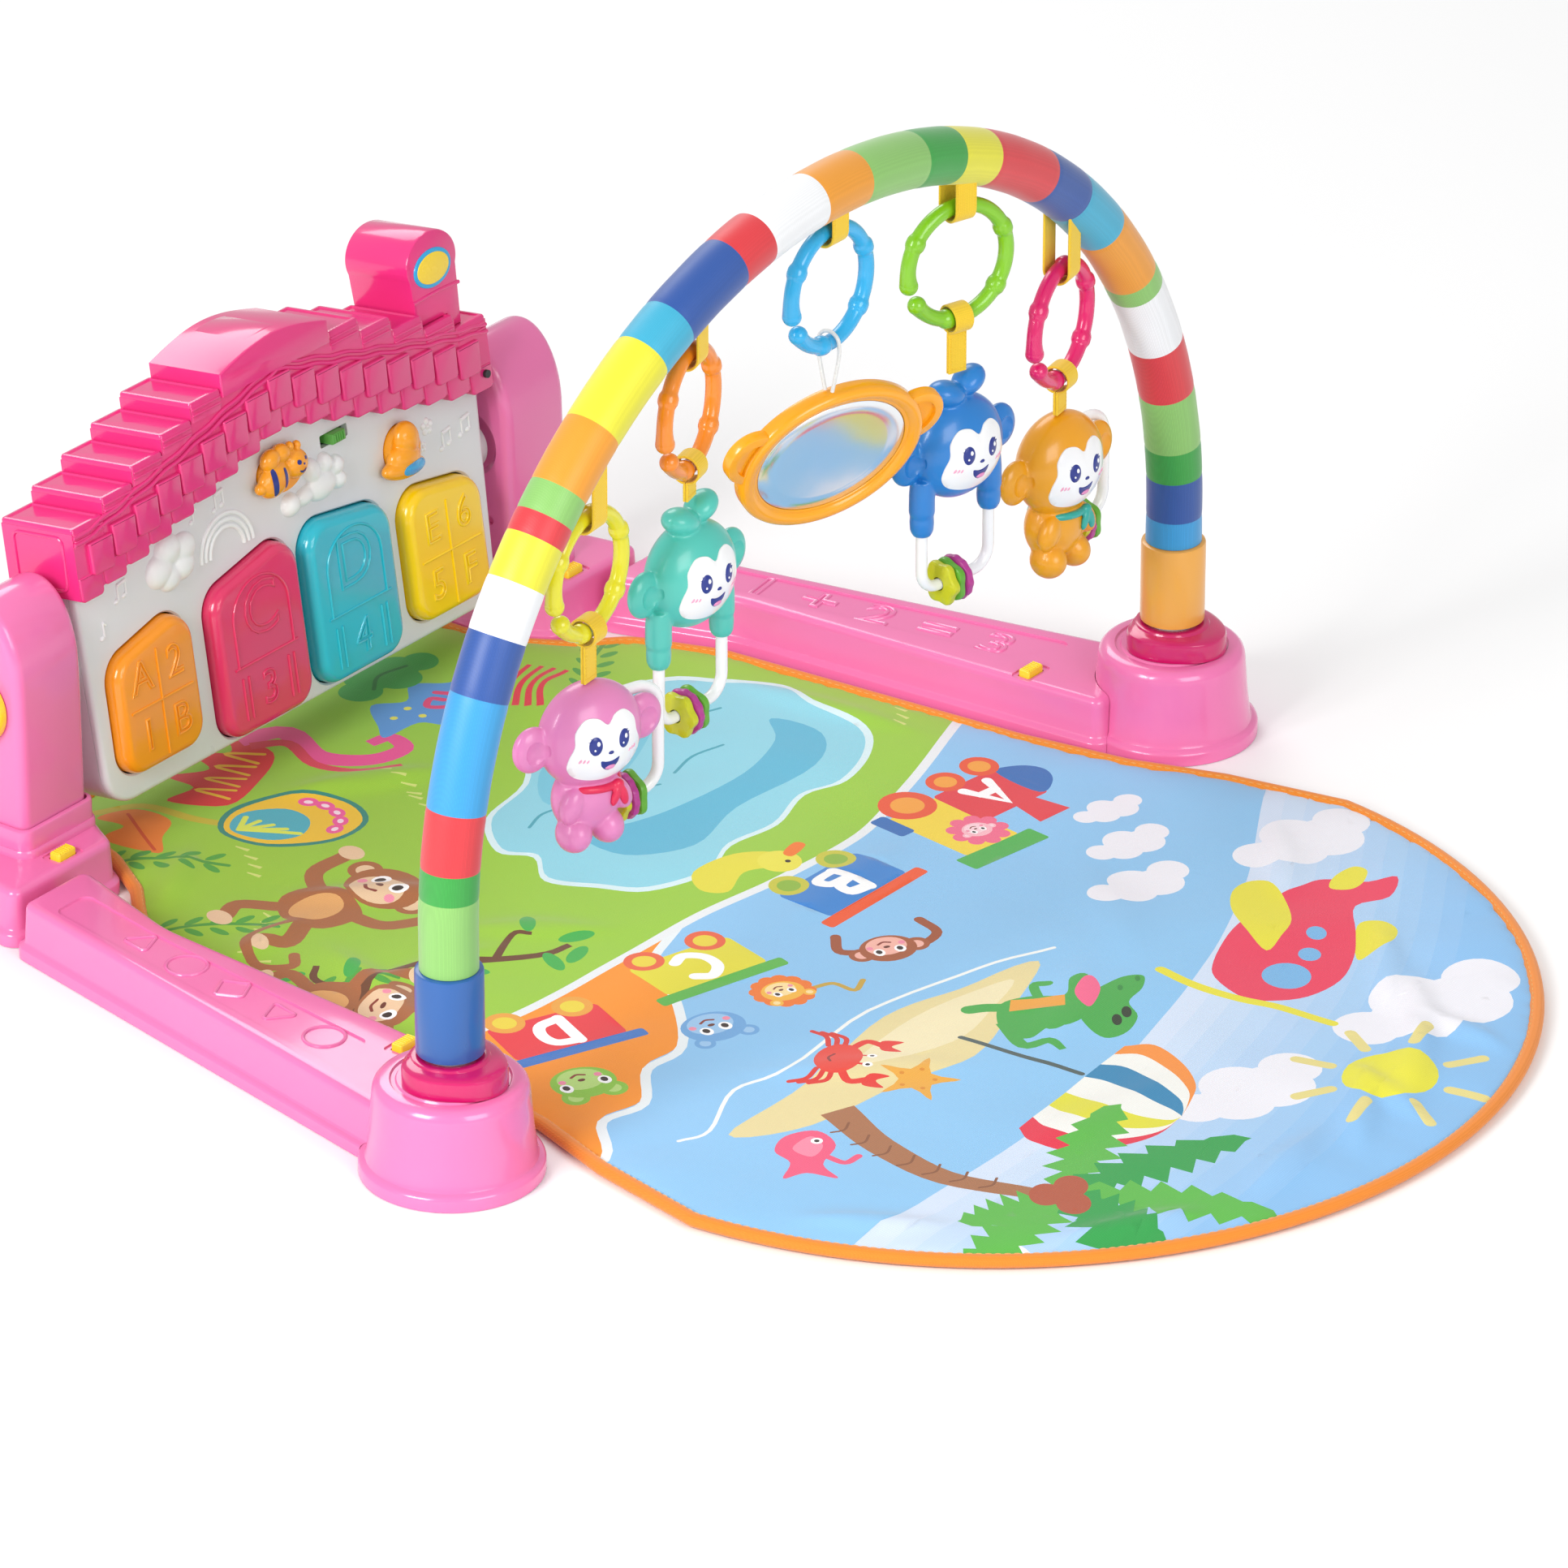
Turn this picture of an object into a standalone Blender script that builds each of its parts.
"""Activity play gym: a floor frame with a tilting toy piano, a mat, and an arch with hanging toys.

Metres, +Z up. X runs along the arch, -Y is the open end of the mat, +Y is the piano end.
The origin is on the floor under the middle of the whole object.
"""
import math

import bmesh
import bpy
from mathutils import Matrix, Vector

GAP = 0.0003                    # clearance between pieces that touch

# Floor plan
ARCH_Y = -0.015                 # plane of the arch
HALF_SPAN = 0.300               # arch leg to the middle
BACK_Y = 0.395                  # rear edge of the post bases
MAT_FRONT_Y = -0.395
FRAME_TOP = 0.030               # top of the side arms
SKIN = 0.0025                   # wall of the moulded shells

# Feet and arch
FOOT_HEIGHT = 0.050
FOOT_HOLE = 0.0235
SOCKET_TOP = 0.0635
SOCKET_BORE = 0.0130
TUBE_RADIUS = 0.0124
COVER_RADIUS = 0.0148
CUFF_RADIUS = 0.0170
CUFF_BOTTOM = 0.0650
CUFF_TOP = 0.1100
ARCH_STRAIGHT_TOP = 0.130       # the legs are straight up to here
ARCH_RISE = 0.284               # then half an ellipse of this height
ARCH_SEGMENTS = 20
TUBE_FOOT = 0.024

# Piano and its posts
PIVOT_Y = 0.3545
PIVOT_Z = 0.108
PIANO_LEAN = math.radians(8.0)
POST_INNER = 0.172
POST_OUTER = 0.222
POST_HALF_DEPTH = 0.028
POST_TOP = 0.165
COLLAR_TOP = 0.045
PANEL_FRONT = 0.020             # distances from the pivot, towards the player
PANEL_SPLIT = 0.0155
PANEL_BACK = -0.024
PANEL_BOTTOM = -0.081
EAVE_END = 0.039
EAVE_MIDDLE = 0.078
HALF_PANEL = 0.158
HALF_EAVE = 0.163
HUB_RADIUS = 0.0145
AXLE_RADIUS = 0.0085
KEY_PROUD = 0.008

# Hanging toys
RING_RADIUS = 0.0305            # to the middle of the wire
RING_WIRE = 0.0048
LOOP_INNER = 0.0064
LOOP_OUTER = 0.0078
LOOP_HALF_WIDTH = 0.0065
STRAP_HALF_WIDTH = 0.0055
HANDLE_WIRE = 0.0030
BEAD_RADIUS = 0.0100
BEAD_THICKNESS = 0.0038
BEAD_BORE = 0.0036

PINK = (0.84, 0.19, 0.43)
RASPBERRY = (0.72, 0.02, 0.16)
ROOF_PINK = (0.81, 0.05, 0.27)
YELLOW = (0.94, 0.72, 0.05)
PALE_GREY = (0.78, 0.79, 0.80)
WHITE = (0.90, 0.90, 0.91)

MATERIALS = {
    "frame_pink": (PINK, 0.25, 0.0),
    "raspberry": (RASPBERRY, 0.25, 0.0),
    "roof_pink": (ROOF_PINK, 0.22, 0.0),
    "yellow_plastic": (YELLOW, 0.30, 0.0),
    "panel_grey": (PALE_GREY, 0.30, 0.0),
    "orange_plastic": ((0.92, 0.32, 0.03), 0.28, 0.0),
    "turquoise_plastic": ((0.05, 0.48, 0.60), 0.28, 0.0),
    "blue_plastic": ((0.03, 0.42, 0.78), 0.28, 0.0),
    "green_plastic": ((0.24, 0.56, 0.02), 0.28, 0.0),
    "white_plastic": (WHITE, 0.25, 0.0),
    "monkey_pink": ((0.80, 0.26, 0.52), 0.30, 0.0),
    "monkey_teal": ((0.10, 0.55, 0.46), 0.30, 0.0),
    "monkey_blue": ((0.02, 0.24, 0.62), 0.30, 0.0),
    "monkey_orange": ((0.78, 0.34, 0.02), 0.30, 0.0),
    "bead_plastic": ((0.50, 0.50, 0.02), 0.35, 0.0),
    "cover_fabric": ((0.10, 0.40, 0.75), 0.80, 0.0),
    "mat_fabric": ((0.31, 0.60, 0.88), 0.85, 0.0),
    "webbing": ((0.88, 0.54, 0.03), 0.80, 0.0),
    "cord": ((0.85, 0.85, 0.85), 0.70, 0.0),
    "mirror_film": ((0.80, 0.84, 0.88), 0.05, 1.0),
    "circuit_green": ((0.02, 0.22, 0.08), 0.45, 0.0),
    "speaker_black": ((0.03, 0.03, 0.03), 0.55, 0.0),
    "battery_black": ((0.05, 0.05, 0.06), 0.45, 0.0),
}

# Each basis takes (u, v, w) of a flat outline and its depth to X, Y, Z.
PLAN = Matrix.Identity(4)                                                  # w is up
FRONT = Matrix(((1, 0, 0, 0), (0, 0, -1, 0), (0, 1, 0, 0), (0, 0, 0, 1)))  # w is towards -Y
SIDE = Matrix(((0, 0, 1, 0), (1, 0, 0, 0), (0, 1, 0, 0), (0, 0, 0, 1)))    # w is towards +X


# ---------------------------------------------------------------- scene and objects

def clear_scene():
    for old in list(bpy.data.objects):
        bpy.data.objects.remove(old, do_unlink=True)


def make_collection(name):
    collection = bpy.data.collections.new(name)
    bpy.context.scene.collection.children.link(collection)
    return collection


clear_scene()
PARTS = make_collection("activity_play_gym")
CUTTERS = make_collection("cutters")


def make_material(node_name, kind):
    colour, roughness, metallic = MATERIALS[kind]
    material = bpy.data.materials.new(node_name)
    material.use_nodes = True
    shader = material.node_tree.nodes["Principled BSDF"]
    shader.inputs["Base Color"].default_value = (*colour, 1.0)
    shader.inputs["Roughness"].default_value = roughness
    shader.inputs["Metallic"].default_value = metallic
    material.diffuse_color = (*colour, 1.0)
    return material


def add_part(name, data, kind, parent=None, location=(0, 0, 0), rotation=(0, 0, 0)):
    obj = bpy.data.objects.new(name, data)
    obj.location = location
    obj.rotation_euler = rotation
    obj.parent = parent
    data.materials.clear()
    data.materials.append(make_material(name, kind))
    PARTS.objects.link(obj)
    return obj


def add_cutter(name, mesh, parent=None, location=(0, 0, 0), rotation=(0, 0, 0)):
    obj = bpy.data.objects.new(name, mesh)
    obj.location = location
    obj.rotation_euler = rotation
    obj.parent = parent
    obj.hide_render = True
    obj.display_type = "WIRE"
    CUTTERS.objects.link(obj)
    return obj


def add_empty(name, location, rotation=(0, 0, 0), parent=None):
    empty = bpy.data.objects.new(name, None)
    empty.location = location
    empty.rotation_euler = rotation
    empty.parent = parent
    PARTS.objects.link(empty)
    return empty


def boolean(obj, cutter, operation):
    modifier = obj.modifiers.new(cutter.name, "BOOLEAN")
    modifier.operation = operation
    modifier.solver = "EXACT"
    modifier.object = cutter


def bevel(obj, width, segments=2, angle=40.0):
    modifier = obj.modifiers.new("rounded_edges", "BEVEL")
    modifier.width = width
    modifier.segments = segments
    modifier.limit_method = "ANGLE"
    modifier.angle_limit = math.radians(angle)


def solidify(obj, thickness):
    modifier = obj.modifiers.new("wall", "SOLIDIFY")
    modifier.thickness = thickness
    modifier.offset = -1.0
    modifier.use_even_offset = True


# ---------------------------------------------------------------- outlines in two dimensions

def mirrored(points):
    """The same outline on the other side of u = 0, still anticlockwise."""
    return [(-u, v) for u, v in reversed(points)]


def rounded_polygon(corners, steps=2):
    """A closed outline from (u, v, radius) corners, with an arc at each."""
    outline = []
    count = len(corners)
    for index, (u, v, radius) in enumerate(corners):
        here = Vector((u, v))
        before = (Vector(corners[index - 1][:2]) - here).normalized()
        after = (Vector(corners[(index + 1) % count][:2]) - here).normalized()
        half_angle = before.angle(after) / 2
        if radius <= 0 or abs(half_angle - math.pi / 2) < 0.01:
            outline.append((u, v))
            continue
        reach = radius / math.tan(half_angle)
        centre = here + (before + after).normalized() * (radius / math.sin(half_angle))
        start = here + before * reach - centre
        end = here + after * reach - centre
        sweep = math.atan2(start.x * end.y - start.y * end.x, start.dot(end))
        for step in range(steps + 1):
            turn = Matrix.Rotation(sweep * step / steps, 2)
            outline.append(tuple(centre + turn @ start))
    return outline


def offset_outline(points, distance):
    """Moves an anticlockwise outline outwards by a distance, with mitred corners."""
    moved = []
    count = len(points)
    for index in range(count):
        before = Vector(points[index]) - Vector(points[index - 1])
        after = Vector(points[(index + 1) % count]) - Vector(points[index])
        normal_a = Vector((before.y, -before.x)).normalized()
        normal_b = Vector((after.y, -after.x)).normalized()
        mitre = normal_a + normal_b
        scale = distance / max(mitre.length_squared / 2, 0.4)
        moved.append(tuple(Vector(points[index]) + mitre * scale))
    return moved


def ellipse(centre, radius_u, radius_v, count):
    turns = [2 * math.pi * step / count for step in range(count)]
    return [(centre[0] + radius_u * math.cos(a), centre[1] + radius_v * math.sin(a)) for a in turns]


def box_outline(centre, half_u, half_v, radius=0.0, steps=3):
    u, v = centre
    signs = ((-1, -1), (1, -1), (1, 1), (-1, 1))
    return rounded_polygon([(u + a * half_u, v + b * half_v, radius) for a, b in signs], steps)


# ---------------------------------------------------------------- meshes

def loft(loops, basis=PLAN, cap_start=True, cap_end=True, ring=False):
    """Skins a stack of loops, each a list of (u, v) points with its depth w."""
    mesh_builder = bmesh.new()
    rows = [[mesh_builder.verts.new(basis @ Vector((u, v, w))) for u, v in points] for points, w in loops]
    pairs = list(zip(rows, rows[1:]))
    if ring:
        pairs.append((rows[-1], rows[0]))
    for low, high in pairs:
        for index in range(len(low)):
            after = (index + 1) % len(low)
            mesh_builder.faces.new((low[index], low[after], high[after], high[index]))
    if cap_start and not ring:
        mesh_builder.faces.new(list(reversed(rows[0])))
    if cap_end and not ring:
        mesh_builder.faces.new(rows[-1])
    mesh = bpy.data.meshes.new("loft")
    mesh_builder.to_mesh(mesh)
    mesh_builder.free()
    return mesh


def prism(outline, low, high, basis=PLAN):
    return loft([(outline, low), (outline, high)], basis)


def cylinder(centre, radius, low, high, basis=PLAN, count=16):
    return prism(ellipse(centre, radius, radius, count), low, high, basis)


def ellipsoid(centre, radii, turn=(0, 0, 0), segments=10, rings=7):
    mesh_builder = bmesh.new()
    bmesh.ops.create_uvsphere(mesh_builder, u_segments=segments, v_segments=rings, radius=1.0)
    shape = Matrix.Diagonal((*radii, 1.0))
    twist = Matrix.Rotation(turn[0], 4, "X") @ Matrix.Rotation(turn[1], 4, "Y") @ Matrix.Rotation(turn[2], 4, "Z")
    bmesh.ops.transform(mesh_builder, matrix=Matrix.Translation(centre) @ twist @ shape, verts=mesh_builder.verts)
    mesh = bpy.data.meshes.new("ellipsoid")
    mesh_builder.to_mesh(mesh)
    mesh_builder.free()
    return mesh


def smooth(mesh, angle=35.0):
    mesh.shade_smooth()
    mesh.set_sharp_from_angle(angle=math.radians(angle))


def turned_part(name, profile, kind, location, steps, parent=None):
    """A closed profile of (radius, height) turned about Z; its outer side runs top to bottom."""
    mesh_builder = bmesh.new()
    verts = [mesh_builder.verts.new((r, 0, z)) for r, z in profile]
    for index in range(len(verts)):
        mesh_builder.edges.new((verts[index], verts[(index + 1) % len(verts)]))
    mesh = bpy.data.meshes.new(name)
    mesh_builder.to_mesh(mesh)
    mesh_builder.free()
    obj = add_part(name, mesh, kind, parent, location)
    screw = obj.modifiers.new("turned", "SCREW")
    screw.steps = steps
    screw.render_steps = steps
    screw.use_merge_vertices = True
    screw.merge_threshold = 0.00001
    screw.use_smooth_shade = True
    return obj


def wire_curve(name, points, radius, resolution=2, caps=True):
    curve = bpy.data.curves.new(name, "CURVE")
    curve.dimensions = "3D"
    curve.bevel_depth = radius
    curve.bevel_resolution = resolution
    curve.render_resolution_u = 0
    curve.use_fill_caps = caps
    curve.twist_mode = "MINIMUM"
    spline = curve.splines.new("POLY")
    spline.points.add(len(points) - 1)
    for target, point in zip(spline.points, points):
        target.co = (*point, 1.0)
    return curve


def wire_part(name, points, radius, kind, parent=None, location=(0, 0, 0), rotation=(0, 0, 0)):
    return add_part(name, wire_curve(name, points, radius), kind, parent, location, rotation)


def tube_mesh(name, points, radius, resolution):
    """A capped tube as a welded mesh, so that Booleans can use it."""
    source = bpy.data.objects.new(name, wire_curve(name, points, radius, resolution))
    bpy.context.scene.collection.objects.link(source)
    evaluated = source.evaluated_get(bpy.context.evaluated_depsgraph_get())
    mesh = bpy.data.meshes.new_from_object(evaluated)
    bpy.data.objects.remove(source, do_unlink=True)
    mesh_builder = bmesh.new()
    mesh_builder.from_mesh(mesh)
    bmesh.ops.remove_doubles(mesh_builder, verts=mesh_builder.verts, dist=0.00001)
    mesh_builder.to_mesh(mesh)
    mesh_builder.free()
    return mesh


# ---------------------------------------------------------------- floor frame

def on_side(points, sign):
    return points if sign > 0 else mirrored(points)


def foot_profile(clearance=0.0):
    """Outer side of a foot, from the top edge down to the floor."""
    body = [(0.0340, 0.0500), (0.0376, 0.0476), (0.0388, 0.0430), (0.0425, 0.0085)]
    flange = [(0.0455, 0.0072), (0.0460, 0.0)]
    return [(r + clearance, z) for r, z in body + flange]


def make_foot(side, sign):
    inside = [(0.0436, 0.0), (0.0402, 0.0095), (0.0360, 0.0450), (0.0335, 0.0475)]
    profile = [(FOOT_HOLE, FOOT_HEIGHT)] + foot_profile() + inside + [(FOOT_HOLE, FOOT_HEIGHT - SKIN)]
    return turned_part(f"{side}_foot", profile, "frame_pink", (sign * HALF_SPAN, ARCH_Y, 0), 20)


def foot_cutter(side, sign):
    """The outside of a foot with clearance, which the side arm's end is shaped to."""
    outer = [(r, z) for r, z in foot_profile(GAP)]
    stack = [(ellipse((0, 0), r, r, 20), z) for r, z in reversed(outer)]
    stack[0] = (stack[0][0], -0.01)
    stack.append((ellipse((0, 0), 0.034, 0.034, 20), 0.08))
    return add_cutter(f"{side}_foot_space", loft(stack), location=(sign * HALF_SPAN, ARCH_Y, 0))


def arm_outline():
    """Plan of the right side arm, from the foot back to the post base."""
    corners = [
        (0.2525, ARCH_Y + 0.012, 0.006),
        (0.3215, ARCH_Y + 0.012, 0.0),
        (0.3189, ARCH_Y + 0.030, 0.0),
        (0.2602, ARCH_Y + 0.3105, 0.006),
        (0.2120, ARCH_Y + 0.3105, 0.006),
        (0.2200, ARCH_Y + 0.2850, 0.030),
        (0.2355, ARCH_Y + 0.2360, 0.080),
    ]
    return rounded_polygon(corners)


def frame_body(outline):
    """A low moulded beam: crowned top, drafted sides and a lip at the floor."""
    top = FRAME_TOP
    steps = ((-0.0042, top), (-0.0012, top - 0.0012), (0.0, top - 0.0042), (0.0012, 0.0085), (0.0042, 0.0065),
             (0.0042, 0.0))
    return loft([(offset_outline(outline, grow), height) for grow, height in reversed(steps)])


def hollow_below(obj, outline):
    """Opens a beam from below, which leaves a wall of SKIN."""
    cavity = prism(offset_outline(outline, -SKIN - 0.0015), -0.01, FRAME_TOP - SKIN)
    boolean(obj, add_cutter(f"{obj.name}_cavity", cavity), "DIFFERENCE")


def tab_place(sign, front):
    """Middle of a latch tab on the plan: front ones near the foot, rear ones at the post base."""
    return (sign * 0.2600, ARCH_Y + 0.0620) if front else (sign * 0.2075, ARCH_Y + 0.3290)


def make_tab(side, sign, front):
    place = tab_place(sign, front)
    name = f"{side}_{'front' if front else 'rear'}_latch_tab"
    tab = add_part(name, prism(box_outline((0, 0), 0.0065, 0.0035), 0.0235, FRAME_TOP + 0.0032),
                   "yellow_plastic", location=(*place, 0))
    bevel(tab, 0.0008, 1)
    slot = prism(box_outline((0, 0), 0.0070, 0.0040), 0.010, 0.050)
    return add_cutter(f"{name}_slot", slot, location=(*place, 0))


def make_arm(side, sign):
    outline = on_side(arm_outline(), sign)
    arm = add_part(f"{side}_arm", frame_body(outline), "frame_pink")
    hollow_below(arm, outline)
    boolean(arm, foot_cutter(side, sign), "DIFFERENCE")
    boolean(arm, make_tab(side, sign, True), "DIFFERENCE")
    return arm


def base_outline():
    corners = [
        (0.1640, ARCH_Y + 0.3480, 0.012),
        (0.1800, ARCH_Y + 0.3195, 0.008),
        (0.2560, ARCH_Y + 0.3195, 0.006),
        (0.2420, BACK_Y - 0.0042, 0.008),
        (0.1640, BACK_Y - 0.0042, 0.008),
    ]
    return rounded_polygon(corners)


def post_plan(clearance):
    middle = ((POST_INNER + POST_OUTER) / 2, PIVOT_Y)
    half_width = (POST_OUTER - POST_INNER) / 2 + clearance
    return box_outline(middle, half_width, POST_HALF_DEPTH + clearance, 0.004 + clearance)


def make_post_base(side, sign):
    outline = on_side(base_outline(), sign)
    base = add_part(f"{side}_post_base", frame_body(outline), "frame_pink")
    hollow_below(base, outline)
    collar_outline = on_side(post_plan(0.0031), sign)
    collar = loft([(collar_outline, FRAME_TOP - 0.0015), (collar_outline, COLLAR_TOP - 0.0012),
                   (offset_outline(collar_outline, -0.0012), COLLAR_TOP)])
    pocket = prism(on_side(post_plan(0.0005), sign), -0.01, 0.06)
    boolean(base, add_cutter(f"{side}_collar", collar), "UNION")
    boolean(base, add_cutter(f"{side}_post_pocket", pocket), "DIFFERENCE")
    boolean(base, make_tab(side, sign, False), "DIFFERENCE")
    return base


def make_post(side, sign):
    """Hollow upright with a round head, open at its foot; the piano's axle runs through it."""
    head = [(0.0272 * math.cos(a), POST_TOP - 0.0450 + 0.0450 * math.sin(a))
            for a in (math.pi * step / 8 for step in range(9))]
    outline = [(PIVOT_Y + u, v) for u, v in [(-POST_HALF_DEPTH, 0.002), (POST_HALF_DEPTH, 0.002)] + head]
    low, high = sorted((sign * POST_INNER, sign * POST_OUTER))
    mesh = prism(outline, low, high, SIDE)
    mesh_builder = bmesh.new()
    mesh_builder.from_mesh(mesh)
    floor_faces = [face for face in mesh_builder.faces if face.normal.z < -0.9]
    bmesh.ops.delete(mesh_builder, geom=floor_faces, context="FACES")
    mesh_builder.to_mesh(mesh)
    mesh_builder.free()
    post = add_part(f"{side}_post", mesh, "frame_pink")
    bevel(post, 0.0060, 2, 50.0)
    solidify(post, SKIN)
    low, high = sorted((sign * (POST_INNER - 0.010), sign * (POST_INNER + 0.015)))
    inner = cylinder((PIVOT_Y, PIVOT_Z), AXLE_RADIUS + 0.0007, low, high, SIDE)
    low, high = sorted((sign * (POST_OUTER - 0.015), sign * (POST_OUTER + 0.010)))
    outer = cylinder((PIVOT_Y, PIVOT_Z), 0.0068, low, high, SIDE)
    boolean(post, add_cutter(f"{side}_axle_hole", inner), "DIFFERENCE")
    boolean(post, add_cutter(f"{side}_knob_hole", outer), "DIFFERENCE")
    return post


def make_knob(side, sign):
    """Round locking knob with a grip ridge, on the outside of a post."""
    rounds = [((0, 0), 0.0060, -0.0210), ((0, 0), 0.0060, 0.0004), ((0, 0), 0.0195, 0.0004),
              ((0, 0), 0.0195, 0.0050), ((0, 0), 0.0180, 0.0065)]
    stack = [(ellipse(centre, radius, radius, 20), depth) for centre, radius, depth in rounds]
    if sign < 0:
        stack = [(points, -depth) for points, depth in reversed(stack)]
    knob = add_part(f"{side}_pivot_knob", loft(stack, SIDE), "yellow_plastic",
                    location=(sign * POST_OUTER, PIVOT_Y, PIVOT_Z))
    low, high = sorted((sign * 0.0030, sign * 0.0110))
    ridge = prism(box_outline((0, 0), 0.0035, 0.0165, 0.0020), low, high, SIDE)
    boolean(knob, add_cutter(f"{side}_grip_ridge", ridge, location=knob.location), "UNION")
    return knob


# ---------------------------------------------------------------- arch

def arch_point(turn):
    """Middle of the arch tube; turn runs from 0 at the right leg to pi at the left."""
    return Vector((HALF_SPAN * math.cos(turn), ARCH_Y, ARCH_STRAIGHT_TOP + ARCH_RISE * math.sin(turn)))


def arch_path(foot):
    turns = [math.pi * step / ARCH_SEGMENTS for step in range(ARCH_SEGMENTS + 1)]
    curve = [tuple(arch_point(turn)) for turn in turns]
    return [(HALF_SPAN, ARCH_Y, foot)] + curve + [(-HALF_SPAN, ARCH_Y, foot)]


def loop_centre(x):
    """Middle of a sewn loop's eye: just inside the cover, at the given X."""
    reach = COVER_RADIUS + LOOP_OUTER - 0.0008
    inner_x = HALF_SPAN - reach
    inner_rise = ARCH_RISE - reach
    return Vector((x, ARCH_Y, ARCH_STRAIGHT_TOP + inner_rise * math.sqrt(1 - (x / inner_x) ** 2)))


def loop_band(rise):
    """A webbing loop: an eye at the ring and two sides that rise into the cover. Depth is its width."""
    top = rise + 0.002
    outer = [(-LOOP_OUTER, top)]
    inner = [(-LOOP_INNER, top - 0.002)]
    for step in range(7):
        turn = math.pi + math.pi * step / 6
        outer.append((LOOP_OUTER * math.cos(turn), LOOP_OUTER * math.sin(turn)))
        inner.append((LOOP_INNER * math.cos(turn), LOOP_INNER * math.sin(turn)))
    outer.append((LOOP_OUTER, top))
    inner.append((LOOP_INNER, top - 0.002))
    half = LOOP_HALF_WIDTH
    return loft([(outer, -half), (outer, half), (inner, half), (inner, -half)], SIDE, ring=True)


def make_arch(rings):
    path = arch_path(TUBE_FOOT)
    tube = add_part("arch_tube", wire_curve("arch_tube", path, TUBE_RADIUS, 3, caps=False), "white_plastic")
    solidify(tube, 0.0018)
    cover = add_part("arch_cover", tube_mesh("arch_cover", arch_path(CUFF_TOP + GAP), COVER_RADIUS, 3),
                     "cover_fabric")
    for name, ring in rings.items():
        eye = loop_centre(ring["x"]) - Vector((0, 0, ring["drop"]))
        tube_middle = arch_point(math.acos(ring["x"] / HALF_SPAN))
        band = add_cutter(f"{name}_loop", loop_band(tube_middle.z - eye.z), location=eye,
                          rotation=(0, 0, ring["yaw"]))
        boolean(cover, band, "UNION")
    bore = tube_mesh("cover_bore", arch_path(CUFF_TOP - 0.02), TUBE_RADIUS + GAP, 3)
    boolean(cover, add_cutter("cover_bore", bore), "DIFFERENCE")
    for side, sign, kind in (("left", -1, "blue_plastic"), ("right", 1, "orange_plastic")):
        inner = TUBE_RADIUS + 0.0006
        profile = [(inner, CUFF_TOP), (CUFF_RADIUS - 0.0012, CUFF_TOP), (CUFF_RADIUS, CUFF_TOP - 0.0012),
                   (CUFF_RADIUS, CUFF_BOTTOM + 0.0012), (CUFF_RADIUS - 0.0012, CUFF_BOTTOM), (inner, CUFF_BOTTOM)]
        turned_part(f"{side}_cuff", profile, kind, (sign * HALF_SPAN, ARCH_Y, 0), 20)


def make_socket(side, sign):
    """Collar of a rounded triangle on the foot, with a stem that takes the arch tube."""
    count = 24
    outline = []
    for step in range(count):
        turn = 2 * math.pi * step / count
        reach = 0.0258 * (1 + 0.06 * math.cos(3 * (turn + math.pi / 2)))
        outline.append((reach * math.cos(turn), reach * math.sin(turn) - 0.0035))
    loops = [(outline, FOOT_HEIGHT + GAP), (outline, SOCKET_TOP - 0.0036),
             (offset_outline(outline, -0.0012), SOCKET_TOP - 0.0010), (offset_outline(outline, -0.0040), SOCKET_TOP)]
    place = (sign * HALF_SPAN, ARCH_Y, 0)
    socket = add_part(f"{side}_arch_socket", loft(loops), "raspberry", location=place)
    stem = cylinder((0, 0), 0.0185, 0.0180, 0.0560)
    bore = cylinder((0, 0), SOCKET_BORE, 0.0210, 0.0800)
    boolean(socket, add_cutter(f"{side}_stem", stem, location=place), "UNION")
    boolean(socket, add_cutter(f"{side}_bore", bore, location=place), "DIFFERENCE")
    return socket


# ---------------------------------------------------------------- piano

def eave_height(u):
    return EAVE_END + (EAVE_MIDDLE - EAVE_END) * (1 - min(abs(u) / HALF_EAVE, 1.0)) ** 1.15


def eave_line():
    """Points along the eave from the right end to the left."""
    return [(u, eave_height(u)) for u in (HALF_EAVE * math.cos(math.pi * step / 10) for step in range(11))]


def panel_outline():
    bottom = [(-HALF_PANEL, PANEL_BOTTOM, 0.020), (HALF_PANEL, PANEL_BOTTOM, 0.020), (HALF_EAVE, EAVE_END, 0.0),
              (-HALF_EAVE, EAVE_END, 0.0)]
    arcs = rounded_polygon(bottom, 3)[:8]
    return arcs + eave_line()


def key_outline(index):
    """One of four keys; the inner pair is taller, and each top falls away outwards."""
    centre, half_width, bottom, top = (
        (-0.1175, 0.0310, -0.067, 0.011), (-0.0355, 0.0350, -0.077, 0.019),
        (0.0405, 0.0340, -0.076, 0.017), (0.1170, 0.0310, -0.071, 0.006))[index]
    fall = 0.014 if centre < 0 else -0.010
    corners = [
        (centre - half_width, bottom, 0.014),
        (centre + half_width, bottom, 0.014),
        (centre + half_width, top + min(fall, 0), 0.016),
        (centre - half_width, top - max(fall, 0), 0.016),
    ]
    return rounded_polygon(corners, 3)


BEE_PLACE = (0.000, 0.050)
BELL_PLACE = (0.095, 0.027)
SWITCH_PLACE = (0.046, 0.052)


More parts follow.
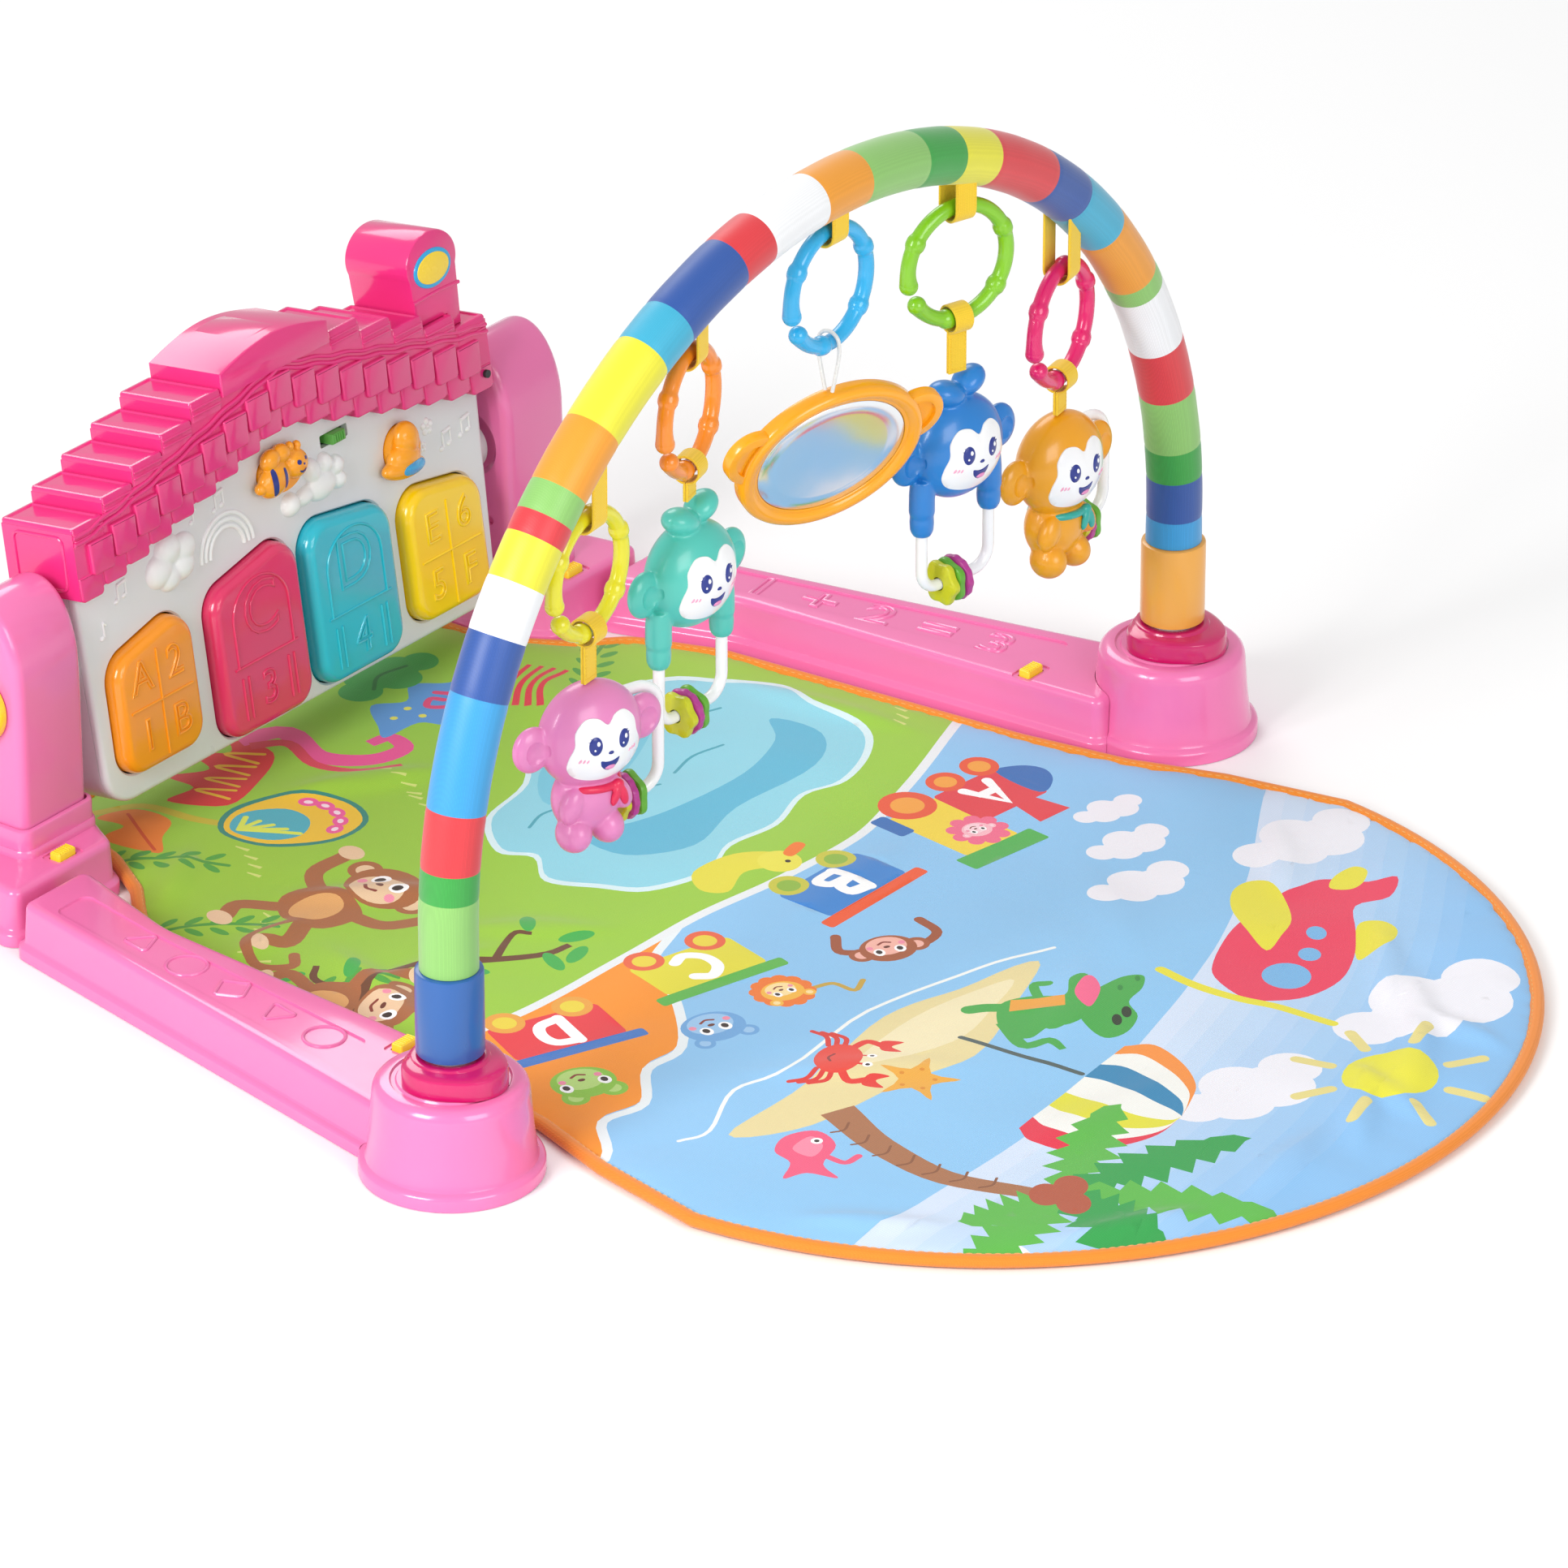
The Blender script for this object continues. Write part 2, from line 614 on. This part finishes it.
def make_piano(pivot):
    outline = panel_outline()
    rows = ((0.0, PANEL_SPLIT + GAP), (0.0, PANEL_FRONT - 0.0030), (-0.0008, PANEL_FRONT - 0.0010),
            (-0.0028, PANEL_FRONT))
    front_mesh = loft([(offset_outline(outline, grow), depth) for grow, depth in rows], FRONT, cap_start=False)
    front = add_part("piano_front", front_mesh, "panel_grey", pivot)
    solidify(front, SKIN)
    rows = ((0.0, PANEL_SPLIT), (0.0, PANEL_BACK + 0.0040), (-0.0012, PANEL_BACK + 0.0012), (-0.0040, PANEL_BACK))
    back_mesh = loft([(offset_outline(outline, grow), depth) for grow, depth in reversed(rows)], FRONT,
                     cap_end=False)
    back = add_part("piano_back", back_mesh, "panel_grey", pivot)
    solidify(back, SKIN)
    for sign in (-1, 1):
        low, high = sorted((sign * (HALF_PANEL + 0.0005), sign * (POST_INNER - 0.0005)))
        hub = cylinder((0, 0), HUB_RADIUS, low, high, SIDE)
        boolean(back, add_cutter(f"hub_{sign}", hub, pivot), "UNION")
        low, high = sorted((sign * (POST_INNER - 0.006), sign * 0.2005))
        axle = cylinder((0, 0), AXLE_RADIUS, low, high, SIDE)
        boolean(back, add_cutter(f"axle_{sign}", axle, pivot), "UNION")
    make_keys(pivot, front)
    make_buttons(pivot, front)
    make_electrics(pivot, back)


def make_keys(pivot, front):
    for index, (name, kind) in enumerate((("orange_key", "orange_plastic"), ("raspberry_key", "raspberry"),
                                          ("turquoise_key", "turquoise_plastic"),
                                          ("yellow_key", "yellow_plastic"))):
        outline = key_outline(index)
        face = PANEL_FRONT + KEY_PROUD
        rows = ((0.0, 0.006), (0.0, face - 0.0035), (-0.0012, face - 0.0010), (-0.0036, face))
        add_part(name, loft([(offset_outline(outline, grow), depth) for grow, depth in rows], FRONT), kind, pivot)
        hole = prism(offset_outline(outline, 0.0008), -0.001, PANEL_FRONT + 0.01, FRONT)
        boolean(front, add_cutter(f"{name}_hole", hole, pivot), "DIFFERENCE")


def make_buttons(pivot, front):
    shapes = (
        ("bee_button", "orange_plastic", ellipse(BEE_PLACE, 0.0165, 0.0115, 20), 0.0005),
        ("bell_button", "yellow_plastic", ellipse(BELL_PLACE, 0.0125, 0.0135, 20), 0.0005),
        ("volume_switch", "green_plastic", box_outline(SWITCH_PLACE, 0.0055, 0.0030, 0.0020, 2), 0.0005),
    )
    for name, kind, outline, clearance in shapes:
        proud = 0.0055 if name != "volume_switch" else 0.0040
        face = PANEL_FRONT + proud
        rows = ((0.0, 0.009), (0.0, face - 0.0012), (-0.0012, face))
        add_part(name, loft([(offset_outline(outline, grow), depth) for grow, depth in rows], FRONT), kind, pivot)
        space = offset_outline(outline, clearance)
        if name == "volume_switch":
            space = box_outline(SWITCH_PLACE, 0.0055 + 0.0055, 0.0030 + clearance, 0.001, 2)
        hole = prism(space, 0.0, PANEL_FRONT + 0.01, FRONT)
        boolean(front, add_cutter(f"{name}_hole", hole, pivot), "DIFFERENCE")


def make_electrics(pivot, back):
    """Circuit board, speaker and battery pack inside, and the battery door in the rear casing."""
    inside = PANEL_BACK + SKIN + GAP
    board = prism(box_outline((0.0, -0.010), 0.120, 0.030), -0.0040, -0.0024, FRONT)
    add_part("circuit_board", board, "circuit_green", pivot)
    speaker = cylinder((0.085, 0.000), 0.020, inside, -0.010, FRONT)
    add_part("speaker", speaker, "speaker_black", pivot)
    pack = prism(box_outline((-0.060, -0.020), 0.029, 0.018), inside, -0.0060, FRONT)
    add_part("battery_pack", pack, "battery_black", pivot)
    door = prism(box_outline((-0.060, -0.020), 0.034, 0.022, 0.003), PANEL_BACK, PANEL_BACK + 0.0022, FRONT)
    add_part("battery_door", door, "panel_grey", pivot)
    hole = prism(box_outline((-0.060, -0.020), 0.034 + GAP, 0.022 + GAP, 0.003), PANEL_BACK - 0.01,
                 PANEL_BACK + 0.006, FRONT)
    boolean(back, add_cutter("battery_door_hole", hole, pivot), "DIFFERENCE")


ROOF_HALF = 0.1665
ROOF_CAP_HALF = 0.043
ROOF_STEPS = 5
ROOF_STEP_LOW = 0.078
ROOF_STEP_RISE = 0.0082
ROOF_FRONT = 0.028
ROOF_BACK = -0.020


def roof_top_line():
    """Stepped ridge from the right end up to the curved cap and down to the left end."""
    width = (ROOF_HALF - ROOF_CAP_HALF) / ROOF_STEPS
    right = []
    for step in range(ROOF_STEPS):
        outer = ROOF_HALF - step * width
        height = ROOF_STEP_LOW + step * ROOF_STEP_RISE
        right.append((outer, height))
        right.append((outer - width, height + 0.0015))
    cap_base = ROOF_STEP_LOW + ROOF_STEPS * ROOF_STEP_RISE
    right.append((ROOF_CAP_HALF, cap_base))
    for step in range(1, 4):
        u = ROOF_CAP_HALF * (1 - step / 4)
        right.append((u, cap_base + 0.008 * math.sin(math.pi / 2 * step / 4)))
    return right + [(0.0, cap_base + 0.008)] + [(-u, v) for u, v in reversed(right)]


def make_roof(pivot):
    lift = 0.0006
    eave = [(u, v + lift) for u, v in reversed(eave_line())]
    bottom = [(-ROOF_HALF, EAVE_END + lift)] + eave + [(ROOF_HALF, EAVE_END + lift)]
    outline = bottom + roof_top_line()
    roof = add_part("roof", prism(outline, ROOF_BACK, ROOF_FRONT, FRONT), "roof_pink", pivot)
    hollow_bottom = [(u * 0.98, v - 0.01) for u, v in bottom]
    hollow_top = [(u * 0.98, v - 0.0045) for u, v in roof_top_line()]
    hollow = prism(hollow_bottom + hollow_top, ROOF_BACK + SKIN, ROOF_FRONT - SKIN, FRONT)
    boolean(roof, add_cutter("roof_hollow", hollow, pivot), "DIFFERENCE")
    width = (ROOF_HALF - ROOF_CAP_HALF) / ROOF_STEPS
    step_edge = ROOF_HALF - width
    low = ROOF_STEP_LOW + 0.0024
    high = low + ROOF_STEP_RISE
    head = [(0.1350 + 0.0205 * math.cos(a), 0.1180 + 0.0170 * math.sin(a))
            for a in (math.pi * (-0.12 + 1.24 * step / 14) for step in range(15))]
    outline = [(0.1180, high), (step_edge + GAP, high), (step_edge + GAP, low), (0.1525, low)] + head
    sign = add_part("roof_sign", prism(outline, ROOF_BACK + 0.001, ROOF_FRONT - 0.004, FRONT), "roof_pink", pivot)
    bevel(sign, 0.0015, 1, 60.0)


# ---------------------------------------------------------------- rings and toys

RINGS = {
    "yellow": {"x": -0.190, "yaw": math.radians(6), "drop": 0.0120, "kind": "yellow_plastic"},
    "orange": {"x": -0.110, "yaw": math.radians(15), "drop": 0.0040, "kind": "orange_plastic"},
    "blue": {"x": 0.002, "yaw": 0.0, "drop": 0.0, "kind": "blue_plastic"},
    "green": {"x": 0.108, "yaw": math.radians(-17), "drop": 0.0040, "kind": "green_plastic"},
    "raspberry": {"x": 0.197, "yaw": math.radians(10), "drop": 0.0130, "kind": "raspberry"},
}
RING_GAP_AT = math.radians(203)
RING_GAP_HALF = math.radians(11)

# Monkeys, measured from the middle of the head
HEAD_RADII = (0.0285, 0.0178, 0.0278)
EAR_OUT = 0.0325
EAR_RADII = (0.0110, 0.0055, 0.0122)
ARM_OUT = 0.0240
ARM_BOTTOM = -0.0430
HOOP_BOTTOM = -0.0745
BOW_TOP = 0.0402
SIDE_HANDLE_TOP = 0.0110
SIDE_HANDLE_BOTTOM = -0.0460
SIDE_HANDLE_OUT = 0.0470
SIDE_HANDLE_BEND = 0.0125


def make_ring(name, spec):
    eye = loop_centre(spec["x"]) - Vector((0, 0, spec["drop"]))
    hinge = add_empty(f"{name}_ring_hinge", eye, (0, 0, spec["yaw"]))
    start = RING_GAP_AT + RING_GAP_HALF
    sweep = 2 * math.pi - 2 * RING_GAP_HALF
    points = []
    for step in range(19):
        turn = start + sweep * step / 18
        points.append((RING_RADIUS * math.cos(turn), 0, -RING_RADIUS + RING_RADIUS * math.sin(turn)))
    wire_part(f"{name}_ring", points, RING_WIRE, spec["kind"], hinge)
    return eye - Vector((0, 0, 2 * RING_RADIUS))


def make_strap(name, hinge, length):
    """Webbing loop round the ring's bottom wire with a doubled tail down to the toy."""
    tail = 0.0014
    start = -math.pi / 2 + math.asin(tail / LOOP_OUTER)
    count = 14
    eye = []
    for step in range(count + 1):
        turn = start + (2 * math.pi - 2 * math.asin(tail / LOOP_OUTER)) * step / count
        eye.append((LOOP_OUTER * math.cos(turn), LOOP_OUTER * math.sin(turn)))
    outline = eye + [(-tail, -length), (tail, -length)]
    half = STRAP_HALF_WIDTH
    strap = add_part(name, prism(outline, -half, half, SIDE), "webbing", hinge)
    hole = cylinder((0, 0), LOOP_INNER, -0.02, 0.02, SIDE, 16)
    boolean(strap, add_cutter(f"{name}_eye", hole, hinge), "DIFFERENCE")
    return strap


def join_shapes(obj, shapes, parent):
    for index, mesh in enumerate(shapes):
        boolean(obj, add_cutter(f"{obj.name}_{index}", mesh, parent), "UNION")


def monkey_head(centre_z):
    ears = [ellipsoid((sign * EAR_OUT, 0.002, centre_z - 0.001), EAR_RADII, segments=7, rings=5)
            for sign in (-1, 1)]
    return ellipsoid((0, 0, centre_z), HEAD_RADII), ears


def make_hanging_monkey(name, kind, hinge, drop, facing):
    """Monkey that holds a U-shaped handle in both hands, with a bow on its head."""
    middle = -drop
    turned = add_empty(f"{name}_turn", (0, 0, 0), (0, 0, facing), hinge)
    head, shapes = monkey_head(middle)
    shapes.append(ellipsoid((-0.007, 0, middle + 0.0300), (0.0110, 0.0090, 0.0070), (0, 0.35, 0), 7, 5))
    shapes.append(ellipsoid((0.0085, 0, middle + 0.0330), (0.0100, 0.0085, 0.0062), (0, -0.5, 0), 7, 5))
    for sign in (-1, 1):
        shapes.append(loft([(ellipse((sign * ARM_OUT, 0), radius, radius, 8), middle + height)
                            for radius, height in ((0.0045, ARM_BOTTOM), (0.0062, ARM_BOTTOM + 0.008),
                                                   (0.0066, -0.026), (0.0060, -0.012))]))
    monkey = add_part(f"{name}_monkey", head, kind, turned)
    join_shapes(monkey, shapes, turned)
    make_strap(f"{name}_strap", hinge, drop - BOW_TOP)
    hoop = [(-ARM_OUT, 0, middle + ARM_BOTTOM - GAP)]
    bend = 0.011
    for corner, start in ((-1, math.pi), (1, 1.5 * math.pi)):
        for step in range(4):
            turn = start + math.pi / 2 * step / 3
            centre = corner * (ARM_OUT - bend)
            hoop.append((centre + bend * math.cos(turn), 0, middle + HOOP_BOTTOM + bend + bend * math.sin(turn)))
    hoop.append((ARM_OUT, 0, middle + ARM_BOTTOM - GAP))
    wire_part(f"{name}_handle", hoop, HANDLE_WIRE, "white_plastic", turned)
    make_beads(f"{name}_beads", turned, (-0.0045, 0, middle + HOOP_BOTTOM))


def make_sitting_monkey(name, kind, hinge, drop, facing):
    """Monkey with a body and feet, and a D-shaped handle at its side."""
    middle = -drop
    turned = add_empty(f"{name}_turn", (0, 0, 0), (0, 0, facing), hinge)
    head, shapes = monkey_head(middle)
    shapes.append(ellipsoid((-0.002, 0.001, middle - 0.0340), (0.0185, 0.0135, 0.0190), segments=8, rings=6))
    for u, turn in ((-0.0125, 0.3), (0.0065, -0.2)):
        shapes.append(ellipsoid((u, -0.004, middle - 0.0500), (0.0085, 0.0105, 0.0095), (0, turn, 0), 7, 5))
    monkey = add_part(f"{name}_monkey", head, kind, turned)
    join_shapes(monkey, shapes, turned)
    make_strap(f"{name}_strap", hinge, drop - HEAD_RADII[2] - 0.0005)
    depth = 0.0090
    inner = SIDE_HANDLE_OUT - SIDE_HANDLE_BEND
    low = middle + SIDE_HANDLE_BOTTOM
    high = middle + SIDE_HANDLE_TOP
    path = [(0.0180, low)]
    for centre_v, start in ((low + SIDE_HANDLE_BEND, -math.pi / 2), (high - SIDE_HANDLE_BEND, 0.0)):
        for step in range(4):
            turn = start + math.pi / 2 * step / 3
            path.append((inner + SIDE_HANDLE_BEND * math.cos(turn), centre_v + SIDE_HANDLE_BEND * math.sin(turn)))
    path.append((0.0245, high))
    points = [(u, depth, v) for u, v in path]
    wire_part(f"{name}_handle", points, HANDLE_WIRE, "white_plastic", turned)
    make_beads(f"{name}_beads", turned, (0.0265, depth, low))


def make_beads(name, hinge, place):
    """Three lobed discs in one piece, free to spin on the handle. The origin is on the spin axis."""
    count = 15
    loops = []
    half = 1.5 * BEAD_THICKNESS
    for disc, lobes in enumerate((6, 5, 6)):
        outline = []
        neck = ellipse((0, 0), 0.0060, 0.0060, count)
        for step in range(count):
            turn = 2 * math.pi * step / count
            reach = BEAD_RADIUS - 0.0010 + 0.0010 * math.cos(lobes * turn)
            outline.append((reach * math.cos(turn), reach * math.sin(turn)))
        low = -half + disc * BEAD_THICKNESS
        high = low + BEAD_THICKNESS
        if disc == 1:
            outline = [(u * 0.93, v * 0.93) for u, v in outline]
        loops += [(neck, low), (outline, low + 0.0004), (outline, high - 0.0004)]
    bore = ellipse((0, 0), BEAD_BORE, BEAD_BORE, count)
    loops += [(neck, half), (bore, half), (bore, -half)]
    add_part(name, loft(loops, SIDE, ring=True), "bead_plastic", hinge, place)


MIRROR_YAW = math.radians(-20)
MIRROR_LEAN = math.radians(20)
MIRROR_HALF_WIDTH = 0.0530
MIRROR_HALF_HEIGHT = 0.0440
MIRROR_HANG = (-0.0100, 0.0440)      # where the cord meets the frame, from the frame's middle
CORD_DROP = 0.0270
CORD_RADIUS = 0.0010
EAR_PLACES = (-0.0480, 0.0480)
EAR_LIFT = 0.0120
EAR_SIZE = 0.0155


def make_mirror(hinge):
    """Oval framed play mirror with two ears, hung by a cord loop from the ring."""
    tilt = add_empty("mirror_tilt", (0, 0, -CORD_DROP), (MIRROR_LEAN, 0, MIRROR_YAW), hinge)
    middle = (-MIRROR_HANG[0], -MIRROR_HANG[1])
    outline = ellipse(middle, MIRROR_HALF_WIDTH, MIRROR_HALF_HEIGHT, 24)
    frame = add_part("mirror_frame", loft([(offset_outline(outline, -0.0020), -0.0050), (outline, -0.0030),
                                           (outline, 0.0030), (offset_outline(outline, -0.0020), 0.0050)], FRONT),
                     "orange_plastic", tilt)
    for index, u in enumerate(EAR_PLACES):
        ear_outline = ellipse((middle[0] + u, middle[1] + EAR_LIFT), EAR_SIZE, EAR_SIZE, 12)
        ear = loft([(ear_outline, -0.0035), (ear_outline, 0.0035)], FRONT)
        boolean(frame, add_cutter(f"mirror_ear_{index}", ear, tilt), "UNION")
    recess = ellipse(middle, MIRROR_HALF_WIDTH - 0.010, MIRROR_HALF_HEIGHT - 0.009, 24)
    boolean(frame, add_cutter("mirror_recess", prism(recess, 0.0010, 0.02, FRONT), tilt), "DIFFERENCE")
    sheet = prism(offset_outline(recess, -GAP), 0.0010 + GAP, 0.0022, FRONT)
    add_part("mirror_sheet", sheet, "mirror_film", tilt)
    bend = RING_WIRE + CORD_RADIUS + 0.0006
    path = [(0, -0.0022, -CORD_DROP + 0.0010), (0, -0.0040, -0.018), (0, -bend, -0.006)]
    path += [(0, bend * math.cos(turn), bend * math.sin(turn))
             for turn in (math.pi - math.pi * step / 8 for step in range(9))]
    path += [(0, bend, -0.006), (0, 0.0040, -0.018), (0, 0.0022, -CORD_DROP + 0.0010)]
    wire_part("mirror_cord", path, CORD_RADIUS, "cord", hinge)


def make_toys():
    toys = {
        "yellow": ("pink", "monkey_pink", make_sitting_monkey, 0.0555, -17.0),
        "orange": ("teal", "monkey_teal", make_hanging_monkey, 0.0570, -2.0),
        "green": ("blue", "monkey_blue", make_hanging_monkey, 0.0700, -8.0),
        "raspberry": ("orange", "monkey_orange", make_sitting_monkey, 0.0480, -3.5),
    }
    for name, spec in RINGS.items():
        place = make_ring(name, spec)
        hinge = add_empty(f"{name}_toy_hinge", place, (0, 0, spec["yaw"]))
        if name == "blue":
            make_mirror(hinge)
            continue
        toy, kind, build, drop, yaw = toys[name]
        build(toy, kind, hinge, drop, math.radians(yaw) - spec["yaw"])


# ---------------------------------------------------------------- mat

def mat_outline():
    """Round front end, a waist between the feet, and sides that narrow to a tongue under the piano."""
    centre_y = ARCH_Y - 0.100
    radius = centre_y - MAT_FRONT_Y
    arc = [(radius * math.sin(turn), centre_y - radius * math.cos(turn))
           for turn in (math.radians(97) * step / 13 for step in range(14))]
    side = [(0.2640, ARCH_Y - 0.052), (0.2470, ARCH_Y - 0.012), (0.2375, ARCH_Y + 0.050),
            (0.2290, ARCH_Y + 0.150), (0.2215, ARCH_Y + 0.236), (0.2040, ARCH_Y + 0.285),
            (0.1800, ARCH_Y + 0.308), (0.1585, ARCH_Y + 0.343), (0.1585, ARCH_Y + 0.388),
            (0.1500, ARCH_Y + 0.398)]
    half = arc + side
    return half + mirrored(half)[:-1]


def make_mat():
    outline = mat_outline()
    rows = ((-0.0010, 0.0), (0.0, 0.0025), (0.0, 0.0055), (-0.0030, 0.0080))
    add_part("mat", loft([(offset_outline(outline, grow), height) for grow, height in rows]), "mat_fabric")


# ---------------------------------------------------------------- the whole object

def main():
    for side, sign in (("left", -1), ("right", 1)):
        make_foot(side, sign)
        make_arm(side, sign)
        make_post_base(side, sign)
        make_post(side, sign)
        make_knob(side, sign)
        make_socket(side, sign)
    make_arch(RINGS)
    pivot = add_empty("piano_pivot", (0, PIVOT_Y, PIVOT_Z), (-PIANO_LEAN, 0, 0))
    make_piano(pivot)
    make_roof(pivot)
    make_toys()
    make_mat()
    for obj in PARTS.objects:
        if obj.type == "MESH" and not obj.name.endswith(("_foot", "_cuff")):
            smooth(obj.data)


main()
